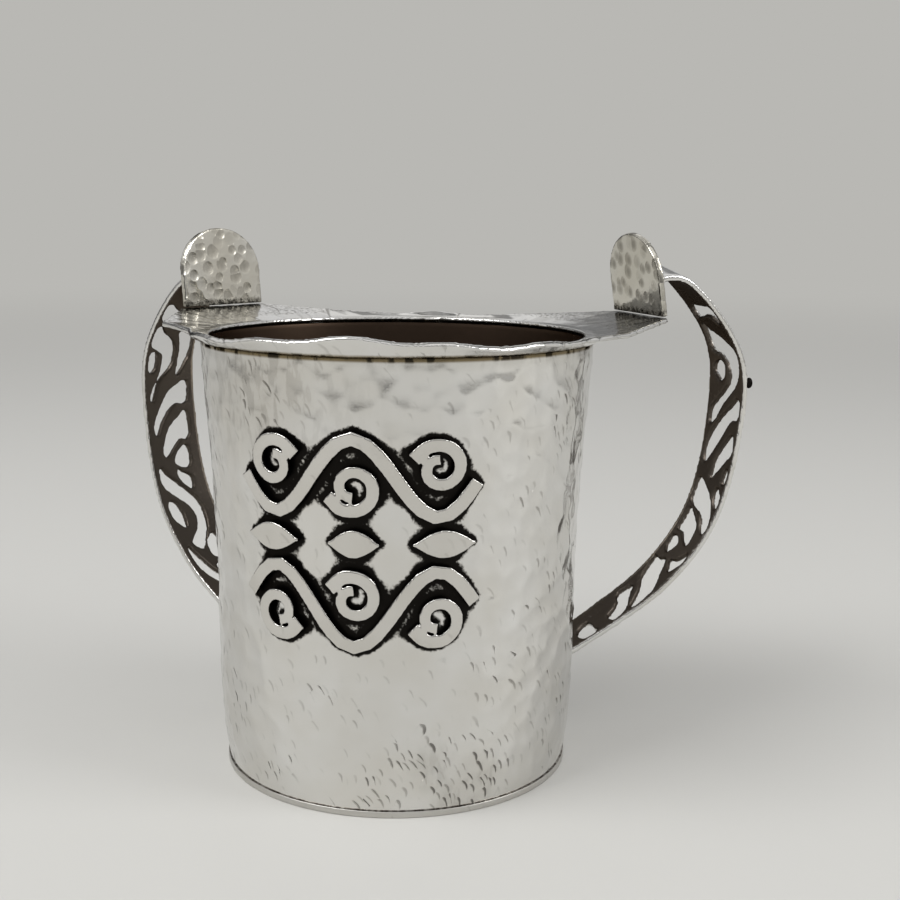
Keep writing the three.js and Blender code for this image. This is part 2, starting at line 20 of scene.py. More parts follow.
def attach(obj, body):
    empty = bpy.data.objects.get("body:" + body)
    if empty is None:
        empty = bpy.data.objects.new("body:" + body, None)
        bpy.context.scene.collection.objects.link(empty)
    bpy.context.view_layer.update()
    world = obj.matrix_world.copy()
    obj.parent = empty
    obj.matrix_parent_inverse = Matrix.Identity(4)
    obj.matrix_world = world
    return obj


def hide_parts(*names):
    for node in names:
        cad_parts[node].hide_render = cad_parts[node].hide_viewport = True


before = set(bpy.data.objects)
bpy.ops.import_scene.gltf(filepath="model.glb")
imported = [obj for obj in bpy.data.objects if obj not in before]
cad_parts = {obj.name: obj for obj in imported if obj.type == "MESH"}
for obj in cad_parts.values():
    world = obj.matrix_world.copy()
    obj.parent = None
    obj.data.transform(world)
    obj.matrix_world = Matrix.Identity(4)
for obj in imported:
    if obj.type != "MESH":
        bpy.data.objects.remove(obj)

MM = 0.001
LOG = logging.getLogger("washing_cup")
BODY = "root"
SHEET_SLOT = "hammered_silver"
WHITE = (1.0, 1.0, 1.0, 1.0)
# Node kinds, and their settings
MATH = "ShaderNodeMath"
VECTOR_MATH = "ShaderNodeVectorMath"
RANGE = "ShaderNodeMapRange"
MIX = "ShaderNodeMix"
NOISE = "ShaderNodeTexNoise"
ATTRIBUTE = "ShaderNodeAttribute"
MULTIPLY = {"operation": "MULTIPLY"}
MAXIMUM = {"operation": "MAXIMUM"}
SUBTRACT = {"operation": "SUBTRACT"}
ABSOLUTE = {"operation": "ABSOLUTE"}
MULTIPLY_ADD = {"operation": "MULTIPLY_ADD"}
DOT_PRODUCT = {"operation": "DOT_PRODUCT"}
SUM = {"operation": "ADD"}
ARCTAN2 = {"operation": "ARCTAN2"}
SMOOTH = {"interpolation_type": "SMOOTHSTEP"}
COLOURS = {"data_type": "RGBA"}
# A Mix node's colours go by number, because its other kinds of value have the same names
MIX_A, MIX_B, MIX_RESULT = 6, 7, 2
NOISE_MIDDLE = 0.5
MERGE_MM = 0.002
SUBDIVISIONS = 2
EDGE_SMOOTHING = 0.5
# A strip's long edges turn by more than this, and the bends along its run by less
LONG_EDGE = math.radians(60)
# A face is inside the cup where its normal leans towards the axis by more than this
FACES_AXIS = -0.3

# Short names of types
Array = np.ndarray
Socket = bpy.types.NodeSocket
Span = tuple[float, float]
Piece = bpy.types.Object
Adder = Callable[..., bpy.types.Node]
Way = tuple[float, float, float]


class Side(Enum):
    """Which side of the cup a handle or tab is on, with the direction it points in, in degrees."""

    RIGHT = 30.0
    LEFT = 150.0

    @property
    def azimuth(self) -> float:
        """Direction in radians, anticlockwise from +X."""
        return math.radians(self.value)


@dataclass(frozen=True)
class Ramp:
    """Turns one amount into another: from start to end of the first, the second goes from low to high."""

    start: float
    end: float
    low: float = 0.0
    high: float = 1.0

    @property
    def inputs(self) -> dict[str, float]:
        """The four numbers as a Map Range node's inputs."""
        return {"From Min": self.start, "From Max": self.end, "To Min": self.low, "To Max": self.high}


def hex_to_linear(code: str) -> tuple[float, float, float, float]:
    """Turns an sRGB hex colour into the linear one that shaders use.

    Args:
        code: six hex digits, such as "c8c6c0".

    Returns:
        Red, green, blue and a full alpha.
    """
    channels = [int(code[i:i + 2], 16) / 255 for i in (0, 2, 4)]
    linear = [c / 12.92 if c <= 0.04045 else ((c + 0.055) / 1.055) ** 2.4 for c in channels]
    return (linear[0], linear[1], linear[2], 1.0)


def add_node(tree: bpy.types.NodeTree, kind: str, options: dict | None = None, values: dict | None = None,
             links: dict | None = None) -> bpy.types.Node:
    """Adds a node with its settings and links.

    Args:
        tree: the node tree it goes in.
        kind: the node's type name.
        options: its own properties.
        values: its inputs that are constant, by name or number.
        links: its inputs that come from another node's output, by name or number.

    Returns:
        The new node.
    """
    node = tree.nodes.new(kind)
    for key, value in (options or {}).items():
        setattr(node, key, value)
    for key, value in (values or {}).items():
        node.inputs[key].default_value = value
    for key, socket in (links or {}).items():
        tree.links.new(socket, node.inputs[key])
    return node


def fresh_nodes(owner: bpy.types.Material | bpy.types.World) -> Adder:
    """Empties a material's or world's nodes.

    Args:
        owner: the material or world.

    Returns:
        The function that adds a node to it.
    """
    owner.use_nodes = True
    owner.node_tree.nodes.clear()
    return partial(add_node, owner.node_tree)


@dataclass(frozen=True)
class SilverFinish:
    """Sterling silver, worked by hand and left to tarnish where a cloth doesn't reach.

    Polished silver is the palest of metals, nearly white, and its oxide is a brown that thickens to black. Three
    attributes of a piece say where they lie: patina for the tarnish, with painted shade and highlight added on the
    rim and straps, solder for the brown of a seam, and struck for the force of the hammer, which also sets the
    painted shade on one edge of each nick.
    """

    name: str
    # Clean metal in cool and warm clouds, thin and thick tarnish (also the colours of painted shade), a seam, and
    # tarnish at a grazing angle
    silver: str = "e4e4e3"
    warm: str = "d6d3cc"
    brown: str = "57503f"
    oxide: str = "1d1b19"
    solder: str = "7d7056"
    grazing: str = "6e6862"
    clouds_per_m: float = 110.0
    # Roughness where it is clean and where it is tarnished
    polish: float = 0.13
    dulled: float = 0.42
    # How far the tarnish's edge wanders, in specks of under a millimetre, and where it starts and is full
    speckle: float = 0.7
    specks_per_m: float = 1500.0
    tarnish_edge: Ramp = Ramp(0.36, 0.62)
    # Dashes in a seam: how dark, how close, drawn out upwards, and the noise at which they start and are full
    dash_dark: float = 0.9
    dashes_per_m: float = 560.0
    dash_squeeze: Way = (1.0, 1.0, 0.3)
    dash_edge: Span = (0.48, 0.58)
    # The unevenness between nicks
    ripple_mm: float = 1.3
    ripple_depth_mm: float = 0.02
    # Nicks: spacing, width, width for length, lean, depth, range of sizes, sway, and which blows are felt
    dent_mm: float = 1.6
    dent_width_mm: float = 1.45
    dent_squat: float = 0.58
    dent_lean: float = 0.22
    dent_depth_mm: float = 0.045
    dent_sizes: Span = (0.75, 1.15)
    sways_per_m: float = 150.0
    sway_mm: float = 14.0
    felt: Ramp = Ramp(0.85, 1.5)
    # Darkening in a nick: how much painted shade along its upper right edge and how much in its bowl, and where that
    # edge lies
    dent_edge_shade: float = 0.75
    bowl_stain: float = 0.0
    shaded_way: Way = (0.85, 0.5, 0.0)
    shaded_share: float = 0.5
    edge_inner: Ramp = Ramp(0.15, 0.55)
    edge_outer: Ramp = Ramp(0.85, 1.05, 1.0, 0.0)
    # The radius at which the nicks are laid out flat
    across_mm: float = 34.0

    def build(self) -> bpy.types.Material:
        """Makes the material.

        Returns:
            The finished material.
        """
        material = bpy.data.materials.new(self.name)
        add = fresh_nodes(material)
        place = add("ShaderNodeTexCoord").outputs["Object"]
        seam = add(ATTRIBUTE, {"attribute_name": "solder"}).outputs["Fac"]
        dent, crease_shade = self.dents(add, place)
        # Painted shade: the upper right edge of each nick, darkened in the tarnish's colours
        edges = add(MATH, MULTIPLY, {1: self.dent_edge_shade}, {0: crease_shade}).outputs[0]
        bowls = add(MATH, MULTIPLY, {1: self.bowl_stain}, {0: dent}).outputs[0]
        shade_and_stains = add(MATH, MAXIMUM, links={0: edges, 1: bowls}).outputs[0]
        # Tarnish with its worn specks, joined with that painted shade on the nicks' edges
        worn = add(MATH, MAXIMUM, links={0: self.speckles(add, place), 1: shade_and_stains}).outputs[0]
        amount = add(MATH, MAXIMUM, links={0: worn, 1: self.dashes(add, place, seam)}).outputs[0]

        # Broad warm and cool clouds, about a centimetre across, from handling
        cloud = add(NOISE, values={"Scale": self.clouds_per_m, "Detail": 2.0}, links={"Vector": place}).outputs["Fac"]
        metal = add(MIX, COLOURS, {MIX_A: hex_to_linear(self.silver), MIX_B: hex_to_linear(self.warm)},
                    {0: cloud}).outputs[MIX_RESULT]
        soldered = add(MIX, COLOURS, {MIX_B: hex_to_linear(self.solder)}, {0: seam, MIX_A: metal}).outputs[MIX_RESULT]
        dark = add(MIX, COLOURS, {MIX_A: hex_to_linear(self.brown), MIX_B: hex_to_linear(self.oxide)},
                   {0: amount}).outputs[MIX_RESULT]
        colour = add(MIX, COLOURS, links={0: amount, MIX_A: soldered, MIX_B: dark}).outputs[MIX_RESULT]
        roughness = add(RANGE, values={"To Min": self.polish, "To Max": self.dulled},
                        links={"Value": amount}).outputs[0]

        # Tarnish stays dark where it is seen at a grazing angle, and clean metal brightens
        grazed = add(MIX, COLOURS, {MIX_A: WHITE, MIX_B: hex_to_linear(self.grazing)},
                     {0: amount}).outputs[MIX_RESULT]
        shader = add("ShaderNodeBsdfPrincipled", values={"Metallic": 1.0},
                     links={"Base Color": colour, "Roughness": roughness, "Specular Tint": grazed,
                            "Normal": self.relief(add, place, dent)})
        add("ShaderNodeOutputMaterial", links={"Surface": shader.outputs[0]})
        return material

    def speckles(self, add: Adder, place: Socket) -> Socket:
        """Adds the tarnish with its uneven edge, in which worn specks show the metal.

        Args:
            add: adds a node to the material.
            place: the surface's own coordinates.

        Returns:
            How tarnished each place is, from 0 to 1.
        """
        patina = add(ATTRIBUTE, {"attribute_name": "patina"}).outputs["Fac"]
        wander = add(NOISE, values={"Scale": self.specks_per_m, "Detail": 5.0, "Roughness": 0.7},
                     links={"Vector": place}).outputs["Fac"]
        offset = add(MATH, SUBTRACT, {1: NOISE_MIDDLE}, {0: wander}).outputs[0]
        spread = add(MATH, MULTIPLY, {1: self.speckle}, {0: offset}).outputs[0]
        edge = add(MATH, SUM, links={0: patina, 1: spread}).outputs[0]
        return add(RANGE, SMOOTH, self.tarnish_edge.inputs, {"Value": edge}).outputs[0]

    def dashes(self, add: Adder, place: Socket, seam: Socket) -> Socket:
        """Adds the dark dashes, a millimetre or two long, that break up a line of solder.

        Args:
            add: adds a node to the material.
            place: the surface's own coordinates.
            seam: where the solder is.

        Returns:
            How dark each place is, from 0 to 1.
        """
        drawn = add("ShaderNodeMapping", values={"Scale": self.dash_squeeze}, links={"Vector": place}).outputs[0]
        run = add(NOISE, values={"Scale": self.dashes_per_m, "Detail": 3.0}, links={"Vector": drawn}).outputs["Fac"]
        gaps = add(RANGE, SMOOTH, Ramp(*self.dash_edge, 0.0, self.dash_dark).inputs, {"Value": run}).outputs[0]
        return add(MATH, MULTIPLY, links={0: seam, 1: gaps}).outputs[0]

    def lay_flat(self, add: Adder, place: Socket) -> Socket:
        """Lays the surface out flat round the cup's axis, squeezed and swaying as the nicks are.

        Args:
            add: adds a node to the material.
            place: the surface's own coordinates.

        Returns:
            The flat coordinates, along the wall and up it.
        """
        split = add("ShaderNodeSeparateXYZ", links={0: place})
        front = add(MATH, MULTIPLY, {1: -1.0}, {0: split.outputs["Y"]}).outputs[0]
        turn = add(MATH, ARCTAN2, links={0: split.outputs["X"], 1: front}).outputs[0]
        arc = add(MATH, MULTIPLY, {1: self.across_mm * MM}, {0: turn}).outputs[0]
        squat = add(MATH, MULTIPLY, {1: self.dent_squat}, {0: split.outputs["Z"]}).outputs[0]
        leaning = add(MATH, MULTIPLY_ADD, {1: self.dent_lean}, {0: split.outputs["Z"], 2: arc}).outputs[0]
        sway = add(NOISE, values={"Scale": self.sways_per_m, "Detail": 0.0}, links={"Vector": place}).outputs["Fac"]
        swayed = add(MATH, MULTIPLY_ADD, {1: self.sway_mm * self.dent_lean * MM}, {0: sway, 2: leaning}).outputs[0]
        return add("ShaderNodeCombineXYZ", links={0: swayed, 1: squat}).outputs[0]

    def dents(self, add: Adder, place: Socket) -> tuple[Socket, Socket]:
        """Adds the small nicks of a hammer, some larger and heavier than others, with painted shade along one edge of
        each.

        Args:
            add: adds a node to the material.
            place: the surface's own coordinates.

        Returns:
            How deep the nick is at each place, and how much of its upper right edge that is, as painted shade, both 0
            to 1.
        """
        flat = self.lay_flat(add, place)
        blow = add("ShaderNodeTexVoronoi", {"voronoi_dimensions": "2D"},
                   {"Scale": 1 / (self.dent_mm * MM), "Randomness": 1.0}, {"Vector": flat})
        chance = add("ShaderNodeSeparateColor", links={0: blow.outputs["Color"]})
        half_mm = 0.5 * self.dent_width_mm
        smallest, largest = (size * half_mm / self.dent_mm for size in self.dent_sizes)
        radius = add(RANGE, values={"To Min": smallest, "To Max": largest},
                     links={"Value": chance.outputs[1]}).outputs[0]
        reach = add(MATH, {"operation": "DIVIDE"}, links={0: blow.outputs["Distance"], 1: radius}).outputs[0]
        square = add(MATH, MULTIPLY, links={0: reach, 1: reach}).outputs[0]
        bowl = add(MATH, {"operation": "SUBTRACT", "use_clamp": True}, {0: 1.0}, {1: square}).outputs[0]

        # A blow falls where its own luck and the piece's struck amount together are high enough
        struck = add(ATTRIBUTE, {"attribute_name": "struck"}).outputs["Fac"]
        both = add(MATH, SUM, links={0: chance.outputs[0], 1: struck}).outputs[0]
        felt = add(RANGE, values=self.felt.inputs, links={"Value": both}).outputs[0]
        dent = add(MATH, MULTIPLY, links={0: bowl, 1: felt}).outputs[0]

        # Painted shade lies along the upper right of a nick's edge
        arm = add(VECTOR_MATH, SUBTRACT, links={0: flat, 1: blow.outputs["Position"]}).outputs[0]
        along = add(VECTOR_MATH, DOT_PRODUCT, {1: self.shaded_way}, {0: arm}).outputs["Value"]
        upper_right = add(RANGE, SMOOTH, Ramp(0.0, self.shaded_share * half_mm * MM).inputs,
                          {"Value": along}).outputs[0]
        inner = add(RANGE, SMOOTH, self.edge_inner.inputs, {"Value": reach}).outputs[0]
        outer = add(RANGE, SMOOTH, self.edge_outer.inputs, {"Value": reach}).outputs[0]
        rim = add(MATH, MULTIPLY, links={0: inner, 1: outer}).outputs[0]
        edge = add(MATH, MULTIPLY, links={0: rim, 1: upper_right}).outputs[0]
        crease_shade = add(MATH, MULTIPLY, links={0: edge, 1: felt}).outputs[0]
        return dent, crease_shade

    def relief(self, add: Adder, place: Socket, dent: Socket) -> Socket:
        """Adds the bump: the nicks, and a fine unevenness between them that breaks up each reflection.

        Args:
            add: adds a node to the material.
            place: the surface's own coordinates.
            dent: how deep the nick is at each place.

        Returns:
            The bumped normal.
        """
        ripple = add(NOISE, values={"Scale": 1 / (self.ripple_mm * MM), "Detail": 2.0},
                     links={"Vector": place}).outputs["Fac"]
        uneven = add(MATH, MULTIPLY, {1: self.ripple_depth_mm}, {0: ripple}).outputs[0]
        height = add(MATH, MULTIPLY_ADD, {1: -self.dent_depth_mm}, {0: dent, 2: uneven}).outputs[0]
        return add("ShaderNodeBump", values={"Strength": 1.0, "Distance": MM},
                   links={"Height": height}).outputs["Normal"]


# The wall, hammered by hand and rubbed bright: it glitters, and each nick has one dark edge of painted shade
HAMMERED = SilverFinish("hammered_sterling_silver")
# The wall's inside, never rubbed: a brown-black bloom that swallows nearly every reflection
INSIDE = SilverFinish("oxidised_sterling_inside", brown="6a5c4f", oxide="4a3d33", speckle=0.9)
# The rim, smoothed with a flat hammer: broad, calm, mirror-like highlights
RIM_SILVER = SilverFinish("planished_sterling_silver", polish=0.12, ripple_depth_mm=0.012)
# The straps, sawn out and filed: clean bands of light outside, and a soft grey-brown in the cut-outs
PIERCED = SilverFinish("pierced_sterling_silver", brown="7a7167", oxide="5a534c", solder="857868",
                       dash_dark=0.3, polish=0.16, speckle=0.44, ripple_depth_mm=0.008)
# The tabs, dimpled: warmer and paler, with a dull grey floor in each dimple
TAB_SILVER = SilverFinish("dimpled_sterling_silver", silver="e6e4dd", warm="cfc9b9", brown="6b6455",
                          dent_mm=2.7, dent_width_mm=2.8, dent_squat=1.0, dent_lean=0.0, dent_depth_mm=0.07,
                          dent_edge_shade=0.4, bowl_stain=0.48, across_mm=49.0)
# The base disc, worn by standing: a soft satin line without any sparkle, its silver painted darker than the wall's as
# shade at the foot
BASE_SILVER = SilverFinish("worn_and_shaded_sterling_base", silver="cfcecb", warm="c2bfb8",
                           brown="6a5c4f", oxide="4a3d33", polish=0.42)
# The strips, polished over a coarse, gentle waviness: they flash white against their black ground
RAISED = SilverFinish("polished_sterling_strip", silver="dcdad6", warm="cdcac3", polish=0.12, speckle=0.6,
                      ripple_mm=2.6, ripple_depth_mm=0.06)
# The drop, left in its oxide: nearly black, with a faint sheen
DROP = SilverFinish("oxidised_sterling_drop", dulled=0.5, speckle=0.2)


def activate(obj: Piece) -> None:
    """Makes one object the only selected one, and the active one.

    Args:
        obj: the object.
    """
    bpy.ops.object.select_all(action="DESELECT")
    obj.select_set(True)
    bpy.context.view_layer.objects.active = obj


def apply_modifier(obj: Piece, kind: str, **settings: object) -> None:
    """Adds a modifier to an object and applies it.

    Args:
        obj: the object.
        kind: the modifier's type name.
        **settings: its properties.
    """
    activate(obj)
    bpy.ops.object.modifier_add(type=kind)
    modifier = obj.modifiers[-1]
    for key, value in settings.items():
        setattr(modifier, key, value)
    bpy.ops.object.modifier_apply(modifier=modifier.name)


def subdivide(obj: Piece) -> None:
    """Rounds an object off with a subdivision surface."""
    apply_modifier(obj, "SUBSURF", levels=SUBDIVISIONS, render_levels=SUBDIVISIONS)


def copy_of_solid(node: str, name: str) -> Piece:
    """Makes a new piece from a copy of a solid, with its loose triangles merged.

    Args:
        node: the solid's name.
        name: the new piece's name.

    Returns:
        The new piece.
    """
    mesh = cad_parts[node].data.copy()
    mesh.materials.clear()
    obj = bpy.data.objects.new(name, mesh)
    bpy.context.scene.collection.objects.link(obj)
    activate(obj)
    bpy.ops.object.mode_set(mode="EDIT")
    bpy.ops.mesh.select_all(action="SELECT")
    bpy.ops.mesh.remove_doubles(threshold=MERGE_MM * MM)
    bpy.ops.object.mode_set(mode="OBJECT")
    return obj


@dataclass(frozen=True)
class HammerMarks:
    """Shallow round dents left side by side by a planishing hammer."""

    across_mm: float
    depth_mm: float
    mid_level: float = 0.45

    def strike(self, obj: Piece, group: str = "") -> None:
        """Beats the marks into a piece.

        Args:
            obj: the piece.
            group: the vertex group that is struck, or all of the piece.
        """
        marks = bpy.data.textures.new(f"{obj.name}_marks", "VORONOI")
        marks.distance_metric = "DISTANCE_SQUARED"
        marks.noise_scale = self.across_mm * MM
        apply_modifier(obj, "DISPLACE", texture=marks, texture_coords="LOCAL", direction="NORMAL",
                       strength=self.depth_mm * MM, mid_level=self.mid_level, vertex_group=group)


def vertex_arrays(obj: Piece) -> tuple[Array, Array]:
    """Reads a piece's vertices.

    Args:
        obj: the piece.

    Returns:
        Each vertex's place in millimetres, and its normal, one row each.
    """
    count = len(obj.data.vertices)
    place, normal = np.empty(count * 3, np.float32), np.empty(count * 3, np.float32)
    obj.data.vertices.foreach_get("co", place)
    obj.data.vertex_normals.foreach_get("vector", normal)
    return place.reshape(-1, 3) / MM, normal.reshape(-1, 3)


def round_axis(place: Array, normal: Array) -> tuple[Array, Array]:
    """Gives how far each vertex is from the cup's axis, and how squarely it faces away from it, -1 to 1."""
    reach = np.hypot(place[:, 0], place[:, 1])
    return reach, (normal[:, :2] * place[:, :2]).sum(1) / reach


def paint(obj: Piece, patina: Array | float = 0.0, solder: Array | float = 0.0,
          struck: Array | float = 0.0) -> None:
    """Keeps three amounts from 0 to 1 at each vertex, which the finish reads.

    Args:
        obj: the piece.
        patina: how thick the tarnish is, with painted shade and highlight added on the rim and straps.
        solder: how brown a seam has stained the metal.
        struck: how hard the hammer fell.
    """
    for layer, amounts in (("patina", patina), ("solder", solder), ("struck", struck)):
        values = np.broadcast_to(np.clip(amounts, 0, 1), len(obj.data.vertices)).astype(np.float32)
        obj.data.attributes.new(layer, "FLOAT", "POINT").data.foreach_set("value", values)


def step(values: Array, start: Array | float, end: Array | float) -> Array:
    """Smooth step from 0 at start to 1 at end, which may be the lower of the two."""
    share = np.clip((values - start) / (end - start), 0, 1)
    return share * share * (3 - 2 * share)


def turned_from(facing: Array, azimuth: float) -> Array:
    """Angle of each direction from an azimuth, all in degrees, between -180 and 180."""
    return (facing - azimuth + 180) % 360 - 180


def dress(obj: Piece, finish: bpy.types.Material, slot: str, *nodes: str) -> None:
    """Finishes a piece and hands it over to the frame.

    Args:
        obj: the piece.
        finish: its material.
        slot: the record's material slot; not used.
        *nodes: the solids that it stands for.
    """
    activate(obj)
    bpy.ops.object.shade_smooth()
    obj.data.materials.clear()
    obj.data.materials.append(finish)
    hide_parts(*nodes)
    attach(obj, BODY)
    LOG.info("%s: %d faces", obj.name, len(obj.data.polygons))


def line_inside(obj: Piece, finish: bpy.types.Material) -> None:
    """Gives the faces that look towards the cup's axis a finish of their own.

    Args:
        obj: the piece.
        finish: the material of its inside.
    """
    obj.data.materials.append(finish)
    for face in obj.data.polygons:
        if face.normal.xy.dot(face.center.xy.normalized()) < FACES_AXIS:
            face.material_index = 1


@dataclass
class Bowl:
    """The round wall and the disc it stands on.

    A pair of places says where an amount starts and where it is full. Each cluster of nicks has an azimuth in
    degrees, a height and a spread in millimetres, and a force.
    """

    around: int = 112
    wall_mm: float = 1.0
    foot_mm: float = 1.1
    outside_mm: tuple[Span, ...] = ((32.15, 1.1), (33.75, 30.0), (34.2, 50.0), (35.25, 66.0), (36.15, 80.0))
    outer_rings: int = 36
    inner_rings: int = 8
    edge_mm: float = 0.22
    # Hammering: it fades at the foot and the top edge, and is softer in a calm patch in front
    marks: HammerMarks = HammerMarks(across_mm=3.5, depth_mm=0.42)
    outward: Span = (0.2, 0.8)
    above_foot_mm: Span = (1.2, 4.0)
    below_top_mm: Span = (80.0, 77.0)
    calm: float = 0.5
    calm_half_mm: float = 13.0
    calm_front_mm: Span = (-20.0, -33.0)
    calm_above_mm: Span = (18.0, 32.0)
    calm_below_mm: Span = (70.0, 62.0)
    # The black ground round the strips: full to ground_mm, gone after halo_mm more, or twice that in a crowd
    panel_front_mm: float = -22.0
    panel_half_mm: float = 26.0
    ground_mm: float = 0.35
    halo_mm: float = 1.25
    crowd_mm: Span = (4.5, 2.0)
    # The tarnish inside, the line at the foot, and a dusty cloud on the left
    inward: Span = (0.2, -0.4)
    inside_stain: float = 0.85
    foot_stain: float = 0.42
    foot_line_mm: Span = (1.6, 1.2)
    dust_stain: float = 0.3
    dust_azimuth: float = -118.0
    dust_spread: float = 24.0
    dust_above_mm: Span = (54.0, 74.0)
    # The brown seam under the rim, its faint glow below, and the brown of dust and of heavy blows
    seam_mm: Span = (79.25, 79.5)
    glow: float = 0.12
    glow_mm: Span = (77.2, 79.2)
    dust_brown: float = 0.75
    blow_brown: float = 0.13
    heavy_blow: Span = (0.7, 1.2)
    # The force of the blows: light all over, more on the sides and back, and most in the clusters
    light_blow: float = 0.1
    back_blow: float = 0.2
    front_azimuth: float = -78.0
    off_front: Span = (40.0, 70.0)
    clusters: tuple[tuple[float, float, float, float], ...] = (
        (-54, 6, 8, 1.35), (-67, 9, 8, 1.2), (-60, 3, 7, 1.2), (-85, 5, 6, 0.7), (-118, 7, 5, 0.8),
        (-141, 17, 7, 0.6), (-105, 59, 5, 0.5), (-116, 72, 7, 0.75), (-25, 70, 10, 0.5), (-41, 51, 8, 0.4),
        (-30, 36, 9, 0.5), (-100, 20, 6, 0.7), (-46, 27, 7, 0.6), (-20, 20, 8, 0.5))
    # The disc, with a tarnished line at its edge and another where the wall meets it inside
    disc_radius_mm: float = 32.45
    disc_sides: int = 160
    disc_bevel_mm: float = 0.1
    disc_bevel_steps: int = 3
    disc_top_mm: float = 0.95
    disc_rim: float = 0.5
    disc_rim_mm: Span = (32.45, 32.35)
    disc_floor: float = 0.4
    disc_floor_mm: Span = (31.6, 31.3)

    def radius_at(self, height: float) -> float:
        """Finds the outside radius on a smooth curve through the measured rings.

        Args:
            height: the height in millimetres.

        Returns:
            The radius in millimetres.
        """
        radii, heights = zip(*self.outside_mm)
        top = heights[-1]
        curve = np.polyfit(np.array(heights) / top, radii, len(radii) - 1)
        return float(np.polyval(curve, height / top))

    def build_wall(self) -> Piece:
        """Raises the wall ring by ring from a circle, outside first, then down the inside.

        Returns:
            The closed wall.
        """
        top = self.outside_mm[-1][1]
        low, high = self.foot_mm + self.edge_mm, top - self.edge_mm
        outer = [self.foot_mm, low, *np.linspace(low, high, self.outer_rings)[1:], top]
        inner = [top, high, *np.linspace(high, low, self.inner_rings)[1:], self.foot_mm]
        rings = [(self.radius_at(z), z) for z in outer] + [(self.radius_at(z) - self.wall_mm, z) for z in inner]
        bpy.ops.object.select_all(action="DESELECT")
        bpy.ops.mesh.primitive_circle_add(vertices=self.around, radius=rings[0][0] * MM,
                                          location=(0, 0, rings[0][1] * MM))
        wall = bpy.context.object
        wall.name = "wall_of_cup"
        bpy.ops.object.transform_apply(location=True, rotation=True, scale=True)
        bpy.ops.object.mode_set(mode="EDIT")
        bpy.ops.mesh.select_all(action="SELECT")
        for (radius, height), (last_radius, last_height) in zip(rings[1:], rings[:-1]):
            bpy.ops.mesh.extrude_region_move(
                TRANSFORM_OT_translate={"value": (0, 0, (height - last_height) * MM)})
            grow = radius / last_radius
            bpy.ops.transform.resize(value=(grow, grow, 1), center_override=(0, 0, height * MM))
        bpy.ops.mesh.select_all(action="DESELECT")
        bpy.ops.mesh.select_non_manifold()
        bpy.ops.mesh.bridge_edge_loops()
        bpy.ops.mesh.select_all(action="SELECT")
        bpy.ops.mesh.normals_make_consistent(inside=False)
        bpy.ops.object.mode_set(mode="OBJECT")
        subdivide(wall)
        self.group_outside(wall)
        self.marks.strike(wall, "beaten")
        return wall

    def group_outside(self, wall: Piece) -> None:
        """Groups the outside's vertices, where the hammer falls: less at the edges, and softer in front.

        Args:
            wall: the wall.
        """
        place, normal = vertex_arrays(wall)
        _, facing = round_axis(place, normal)
        up = place[:, 2]
        weight = step(facing, *self.outward) * step(up, *self.above_foot_mm) * step(up, *self.below_top_mm)
        front = step(place[:, 1], *self.calm_front_mm) * np.exp(-(place[:, 0] / self.calm_half_mm) ** 2)
        weight *= 1 - self.calm * front * step(up, *self.calm_above_mm) * step(up, *self.calm_below_mm)
        group = wall.vertex_groups.new(name="beaten")
        for index, amount in enumerate(weight):
            if amount > 0:
                group.add([index], float(amount), "REPLACE")

    def blacken_ground(self, place: Array, outside: Array, vine: list[Piece]) -> Array:
        """Blackens the metal round the vine's strips, more widely where two strips crowd together.

        Args:
            place: each vertex's place in millimetres.
            outside: which vertices are on the wall's outside.
            vine: the vine's pieces.

        Returns:
            How black each vertex is, from 0 to 1.
        """
        ground = np.zeros(len(place))
        trees = [BVHTree.FromObject(piece, bpy.context.evaluated_depsgraph_get()) for piece in vine]
        in_panel = outside & (place[:, 1] < self.panel_front_mm) & (np.abs(place[:, 0]) < self.panel_half_mm)
        crowd_from, crowd_to = self.crowd_mm
        for index in np.where(in_panel)[0]:
            point = Vector(place[index] * MM)
            gap, next_gap = sorted(tree.find_nearest(point)[3] / MM for tree in trees)[:2]
            crowded = min(max((crowd_from - next_gap) / (crowd_from - crowd_to), 0), 1)
            ground[index] = 1 - min(max((gap - self.ground_mm) / (self.halo_mm * (1 + crowded)), 0), 1)
        return ground

    def blows(self, facing: Array, reach: Array, up: Array) -> Array:
        """Spreads the force of the hammer over the wall.

        Args:
            facing: each vertex's azimuth in degrees.
            reach: its distance from the axis in millimetres.
            up: its height in millimetres.

        Returns:
            The force at each vertex.
        """
        off_front = np.abs(turned_from(facing, self.front_azimuth))
        force = self.light_blow + self.back_blow * step(off_front, *self.off_front)
        for azimuth, height, spread, most in self.clusters:
            aside = np.radians(turned_from(facing, azimuth)) * reach
            force = np.maximum(force, most * np.exp(-(aside ** 2 + (up - height) ** 2) / spread ** 2))
        return force

    def tarnish(self, wall: Piece, vine: list[Piece]) -> None:
        """Blackens the metal round the vine and inside the cup, and browns the seam under the rim.

        Args:
            wall: the wall.
            vine: the vine's pieces.
        """
        place, normal = vertex_arrays(wall)
        reach, outwards = round_axis(place, normal)
        up = place[:, 2]
        facing = np.degrees(np.arctan2(place[:, 1], place[:, 0]))
        inside = step(outwards, *self.inward)
        ground = self.blacken_ground(place, inside < 0.5, vine)
        struck = self.blows(facing, reach, up) * (1 - inside) * (1 - ground)
        foot = self.foot_stain * step(up, *self.foot_line_mm)
        dusty = self.dust_stain * np.exp(-((facing - self.dust_azimuth) / self.dust_spread) ** 2)
        dusty *= step(up, *self.dust_above_mm) * (1 - inside)
        solder = step(up, *self.seam_mm) + self.glow * step(up, *self.glow_mm)
        solder = np.maximum(solder, self.dust_brown * dusty + self.blow_brown * step(struck, *self.heavy_blow))
        paint(wall, np.maximum.reduce([inside * self.inside_stain, ground, foot, dusty]), solder, struck)

